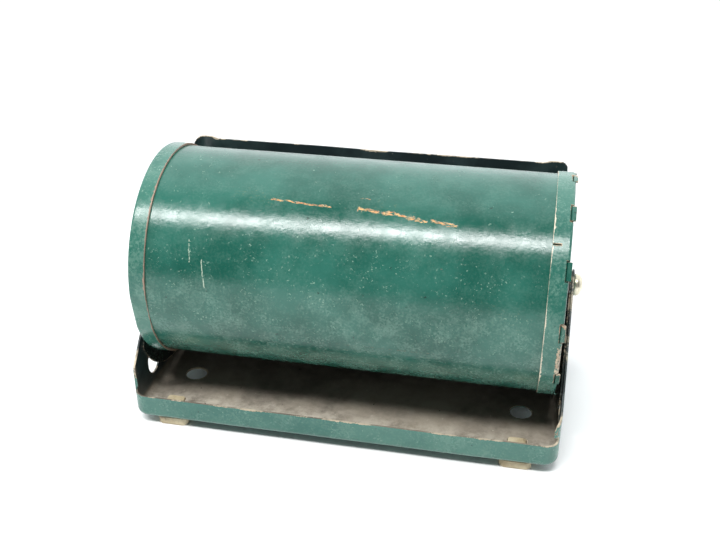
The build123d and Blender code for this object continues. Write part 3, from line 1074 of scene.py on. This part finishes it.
# End caps. Each is one sheet pressed into a shallow cup and pushed over the shell's end. The
# enamel has gone from the edge of the skirt. The right-hand cap is slotted round its rim for
# the shell's tabs, and its skirt has a short split.
cap_edge = 0.0012
tab_slot_gap = 0.0006
slot_half = np.degrees((tab_width / 2 + tab_slot_gap) / shell_radius)
slot_start = shell_end - 0.0005
slot_bottom = shell_radius - shell_sheet - 0.0001
slit_angle = 46.5
slit_long = 0.004
slit_half = np.degrees(0.0004 / drum_radius)
hub_radius = 0.0055
corner = np.linspace(0, pi / 2, 6)
cap_face = cap_edge_high.x
face_radii = lines([hub_radius, slot_bottom, drum_radius - cap_edge], 0.004)[::-1][1:]
skirt_x = lines([skirt_edge, skirt_edge + slit_long, slot_start, cap_face - cap_edge], 0.0012)[:-1]
cup = np.concatenate(
    (
        np.stack((skirt_x, np.full_like(skirt_x, drum_radius)), axis=1),
        np.stack(
            (
                cap_face - cap_edge * (1 - np.sin(corner)),
                drum_radius - cap_edge * (1 - np.cos(corner)),
            ), axis=1
        ),
        np.stack((np.full_like(face_radii, cap_face), face_radii), axis=1),
    )
)
slot_edges = np.concatenate([[a - slot_half, a, a + slot_half] for a in tab_angles])
cap_angles = lines(np.sort(np.append(slot_edges, [slit_angle - slit_half, slit_angle + slit_half]))[:], 3.0)
cap_angles = cap_angles[cap_angles < cap_angles[0] + 360 - 1e-6]
cap_middle = (cap_angles + np.append(cap_angles[1:], cap_angles[0] + 360)) / 2
along_cup = (cup[:-1] + cup[1:]) / 2
for side, hand in (("left", -1), ("right", 1)):
    press = np.random.default_rng(5 + hand)
    ringed = turned(cup, np.radians(cap_angles))
    swell = np.zeros(ringed.shape[:2])
    for wave in range(2, 7):
        swell = swell + press.uniform(-1, 1) * 0.00006 * np.sin(
            wave * np.radians(cap_angles) + press.uniform(0, 2 * pi)
        )
    on_face = np.clip(
        (drum_radius - cup[:, 1:]) / 0.01,
        0,
        1,
    ) * np.clip((cup[:, 1:] - hub_radius) / 0.01, 0, 1)
    ringed[..., 0] += -np.abs(swell) * 4 * on_face
    ringed[..., 0] *= hand
    keep = np.ones((len(cup) - 1, len(cap_angles)), bool)
    if side == "right":
        near_tab = np.abs((cap_middle[:, None] - tab_angles + 180) % 360 - 180).min(1) < slot_half
        at_rim = (along_cup[:, 0] > slot_start) & (along_cup[:, 1] > slot_bottom)
        keep &= ~(at_rim[:, None] & near_tab[None, :])
        at_slit = (along_cup[:, 0] < skirt_edge + slit_long) & (along_cup[:, 1] > drum_radius - 1e-6)
        keep &= ~(at_slit[:, None] & (np.abs(cap_middle - slit_angle) < slit_half)[None, :])
    squares = grid_faces(len(cup), len(cap_angles), wrap=True, keep=keep)
    cap = blank_piece(f"{side}_end_cup", ringed.reshape(-1, 3), squares[:, ::-1] if hand > 0 else squares)
    thicken(cap, cap_sheet)
    dull_edges(cap, 0.00018, turn=60)
    finish, tree, shader = new_finish(f"{side}_cap_enamel")
    where = node(tree, "TexCoord").outputs["Object"]
    edge = node(tree, "Attribute", attribute_name="edge").outputs["Fac"]
    coat = use(
        tree,
        old_enamel,
        {
            "Vector": where,
            "Edge": edge,
            "Reach": 0.00025,
            "Paint": colour(32, 92, 79),
            "Faded": colour(56, 110, 96),
            "Haze_and_sheen": 0.4,
            "Speckle": 0.3,
        },
    )
    shade = coat["Color"]
    x = node(tree, "SeparateXYZ", {0: where}).outputs[0]
    from_edge = calc(tree, "SUBTRACT", calc(tree, "ABSOLUTE", x), skirt_edge)
    chipped = use(tree, edge_wear, {"Vector": where, "Edge": from_edge, "Reach": 0.00035})[0]
    shade = mix(tree, chipped, shade, colour(150, 128, 112) if side == "left" else colour(214, 204, 182))
    feed(
        tree,
        shader,
        height=coat["Height"],
        bump=0.00022,
        Base_Color=shade,
        Roughness=coat["Roughness"],
        Metallic=coat["Metallic"],
    )
    cap.data.materials.append(finish)
    link_up(f"{side}_end_cup", cap, "drum", [f"{side}_end_cap"])


# Hubs. A turned brass bush staked in the middle of each end cap, brown with age.
hub_brass = metal_finish("hub_brass", colour(196, 160, 96), colour(132, 100, 56), 0.6)
for part in ("left_hub", "right_hub", "left_spindle_bush", "right_spindle_bush"):
    dress(part, hub_brass)


# Spindle. A thin steel tube for the tape's cores, plugged at each end with a flanged disc; it
# turns on the same axle. Zinc-plated, gone grey.
spindle_steel = metal_finish("spindle_steel", colour(150, 152, 154), colour(104, 106, 108), 0.35)
for part in ("spindle_tube", "left_spindle_flange", "right_spindle_flange"):
    dress(part, spindle_steel)
